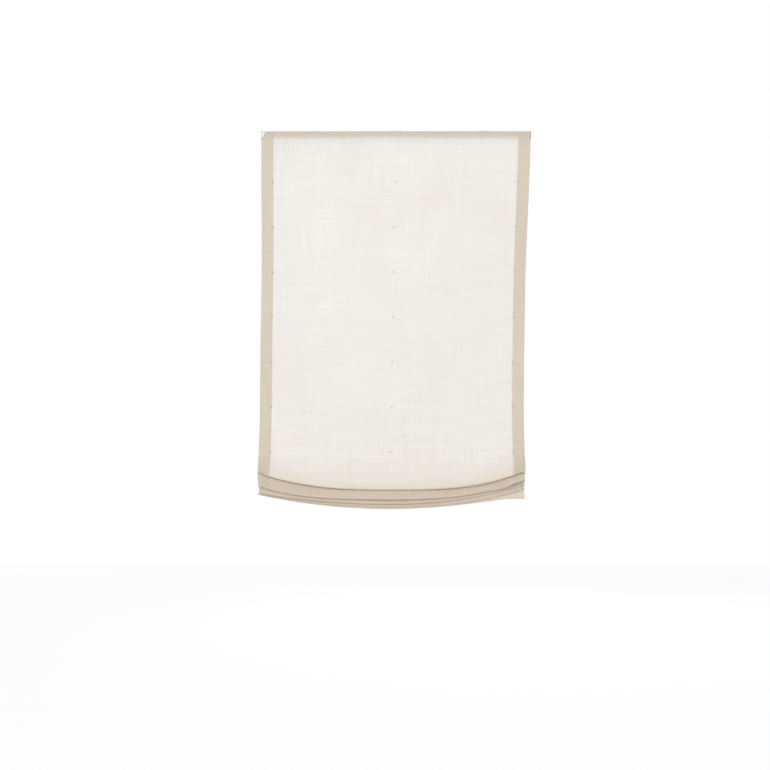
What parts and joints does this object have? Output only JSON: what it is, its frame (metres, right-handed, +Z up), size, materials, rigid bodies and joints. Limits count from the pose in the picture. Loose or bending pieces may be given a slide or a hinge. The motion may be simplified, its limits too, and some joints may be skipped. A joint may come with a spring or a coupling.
{
  "type": "roman shade",
  "caption": "Inside-mount soft-fold roman shade of semi-sheer linen, partly raised, hung from a steel headrail with spring-lift cord spools and a row of rings behind the cloth.",
  "frame": {"origin": "centre of the top face of the centre bracket, in the plane of the window head", "axes": "+X along the headrail to the right as seen from the room, +Y from the room towards the window glass, +Z up"},
  "size_m": [0.9246, 0.0849, 1.2811],
  "materials": {
    "linen": "semi-sheer slubby plain weave, unlined",
    "tape": "hook and loop tape",
    "white_steel": "satin powder coat",
    "zinc": "zinc plated",
    "spring_steel": "bright rolled strip",
    "white_plastic": "moulded, satin",
    "grey_plastic": "moulded, satin",
    "clear_plastic": "clear to milky, smooth",
    "cord": "braided polyester"
  },
  "bodies": {
    "shade": {"bracket_centre": "zinc", "bracket_left": "zinc", "bracket_right": "zinc", "cord_orb_centre": "clear_plastic", "cord_orb_left": "clear_plastic", "cord_orb_right": "clear_plastic", "end_cap_left": "white_plastic", "end_cap_right": "white_plastic", "headrail": "white_steel", "hook_tape": "tape", "lift_cord_centre": "cord", "lift_cord_left": "cord", "lift_cord_right": "cord", "loop_tape": "tape", "motor_base": "grey_plastic", "motor_cover": "grey_plastic", "ring_centre_1": "clear_plastic", "ring_centre_10": "clear_plastic", "ring_centre_2": "clear_plastic", "ring_centre_3": "clear_plastic", "ring_centre_4": "clear_plastic", "ring_centre_5": "clear_plastic", "ring_centre_6": "clear_plastic", "ring_centre_7": "clear_plastic", "ring_centre_8": "clear_plastic", "ring_centre_9": "clear_plastic", "ring_left_1": "clear_plastic", "ring_left_10": "clear_plastic", "ring_left_2": "clear_plastic", "ring_left_3": "clear_plastic", "ring_left_4": "clear_plastic", "ring_left_5": "clear_plastic", "ring_left_6": "clear_plastic", "ring_left_7": "clear_plastic", "ring_left_8": "clear_plastic", "ring_left_9": "clear_plastic", "ring_right_1": "clear_plastic", "ring_right_10": "clear_plastic", "ring_right_2": "clear_plastic", "ring_right_3": "clear_plastic", "ring_right_4": "clear_plastic", "ring_right_5": "clear_plastic", "ring_right_6": "clear_plastic", "ring_right_7": "clear_plastic", "ring_right_8": "clear_plastic", "ring_right_9": "clear_plastic", "shade_fabric": "linen", "spool_cradle_centre": "grey_plastic", "spool_cradle_left": "grey_plastic", "spool_cradle_right": "grey_plastic", "spring_band": "spring_steel"},
    "shaft": {"lift_shaft": "zinc", "cord_spool_left": "white_plastic", "cord_spool_centre": "white_plastic", "cord_spool_right": "white_plastic", "output_drum": "white_plastic"},
    "storage_drum": {"storage_drum": "white_plastic"}
  },
  "joints": [
    {"name": "shaft_turn", "type": "hinge", "parent": "shade", "child": "shaft", "pos_m": [0, -0.0076, -0.0139], "axis": [1, 0, 0], "range_deg": [-6930, 2360]},
    {"name": "storage_turn", "type": "hinge", "parent": "shade", "child": "storage_drum", "pos_m": [-0.2, 0.0086, -0.0139], "axis": [1, 0, 0], "range_deg": [-2360, 6930]}
  ],
  "couplings": [
    {"joint": "storage_turn", "follows": "shaft_turn", "ratio": -1}
  ]
}
